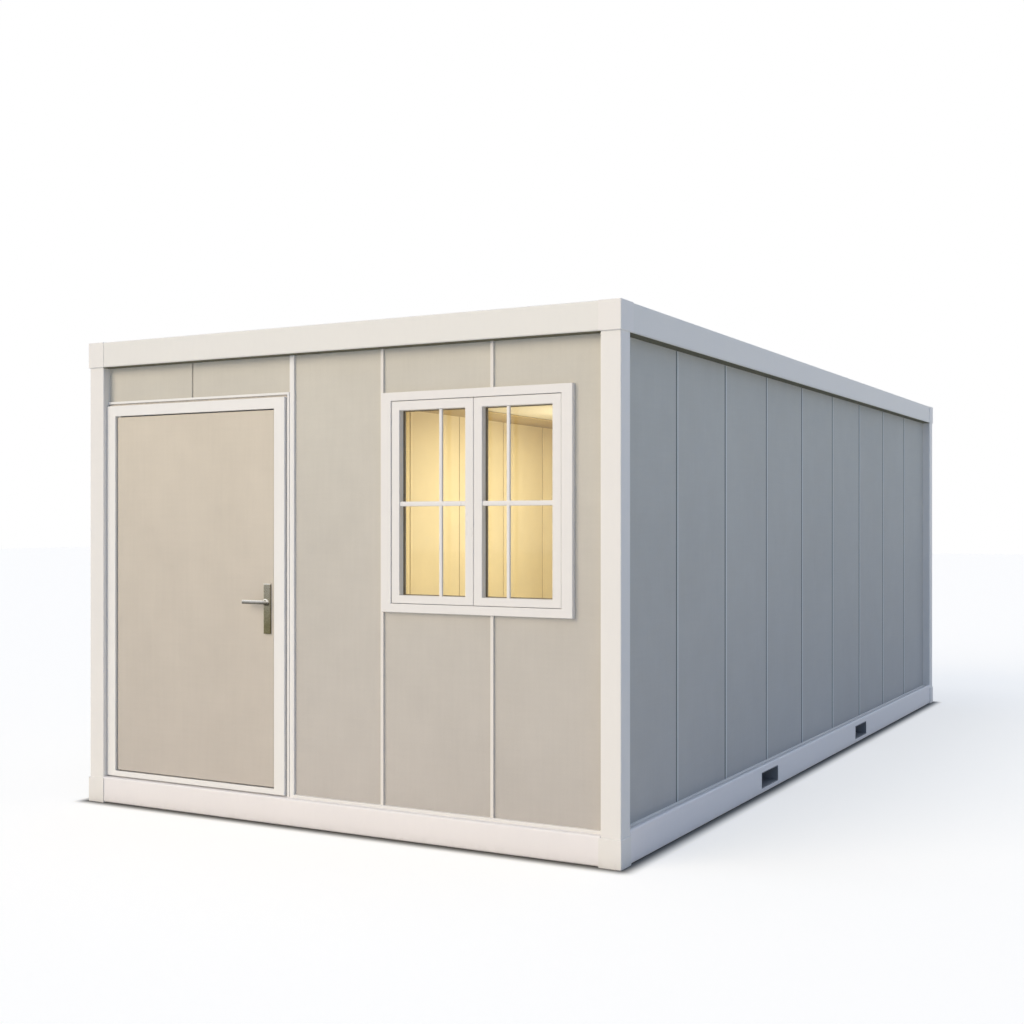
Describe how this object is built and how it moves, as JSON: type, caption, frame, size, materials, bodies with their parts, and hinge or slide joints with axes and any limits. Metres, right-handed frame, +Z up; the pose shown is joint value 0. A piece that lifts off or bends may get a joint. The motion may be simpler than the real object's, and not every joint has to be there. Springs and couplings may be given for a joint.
{
  "type": "flat-pack mobile cabin",
  "caption": "Flat-roofed mobile cabin with a white steel frame, grey-beige insulated panels, an outward-opening door with a lever handle, and a casement window.",
  "frame": {"origin": "centre of the footprint at ground level", "axes": "+X to the right-hand long side, +Y from the door wall to the rear wall, +Z up"},
  "size_m": [3.06, 6.232, 2.405],
  "materials": {
    "frame_paint": "satin white paint on folded steel",
    "panel_coating": "matt grey-beige coating with a fine grain",
    "door_coating": "matt beige coating with a fine grain",
    "trim_paint": "satin white paint",
    "window_plastic": "smooth white profile",
    "clear_glass": "clear",
    "handle_steel": "brushed",
    "deck_board": "sealed board",
    "underframe_paint": "grey primer",
    "ceiling_paint": "matt white",
    "roof_coating": "pale grey-white coating"
  },
  "bodies": {
    "cabin": {"base_beam_front": "frame_paint", "base_beam_left": "frame_paint", "base_beam_rear": "frame_paint", "base_beam_right": "frame_paint", "base_channels": "frame_paint", "ceiling": "ceiling_paint", "corner_block_front_left": "frame_paint", "corner_block_front_right": "frame_paint", "corner_block_rear_left": "frame_paint", "corner_block_rear_right": "frame_paint", "corner_cap_front_left": "frame_paint", "corner_cap_front_right": "frame_paint", "corner_cap_rear_left": "frame_paint", "corner_cap_rear_right": "frame_paint", "corner_post_front_left": "frame_paint", "corner_post_front_right": "frame_paint", "corner_post_rear_left": "frame_paint", "corner_post_rear_right": "frame_paint", "door_frame": "trim_paint", "door_mullion": "trim_paint", "door_pivots": "handle_steel", "door_surround": "trim_paint", "floor_deck": "deck_board", "floor_joists": "underframe_paint", "front_joint_strips": "trim_paint", "front_panel_centre": "panel_coating", "front_panel_middle": "panel_coating", "front_panel_right": "panel_coating", "panels_over_door": "panel_coating", "pocket_bridges": "frame_paint", "pocket_covers": "underframe_paint", "pocket_sides": "underframe_paint", "roof_beam_front": "frame_paint", "roof_beam_left": "frame_paint", "roof_beam_rear": "frame_paint", "roof_beam_right": "frame_paint", "roof_sheet": "roof_coating", "wall_left": "panel_coating", "wall_rear": "panel_coating", "wall_right": "panel_coating", "window_casing": "window_plastic", "window_glass": "clear_glass", "window_sash_left": "window_plastic", "window_sash_right": "window_plastic"},
    "door": {"door_leaf": "door_coating", "handle_plates": "handle_steel"},
    "lever": {"lever_handle": "handle_steel"}
  },
  "joints": [
    {"name": "door_hinge", "type": "hinge", "parent": "cabin", "child": "door", "pos_m": [-1.353, -3.062, 0.1675], "axis": [0, 0, -1], "range_deg": [0, 90]},
    {"name": "lever_turn", "type": "hinge", "parent": "door", "child": "lever", "pos_m": [-0.369, -3.052, 1.075], "axis": [0, -1, 0], "range_deg": [0, 40], "stiffness_Nm_per_rad": 1.5, "springref_deg": -20.05}
  ]
}
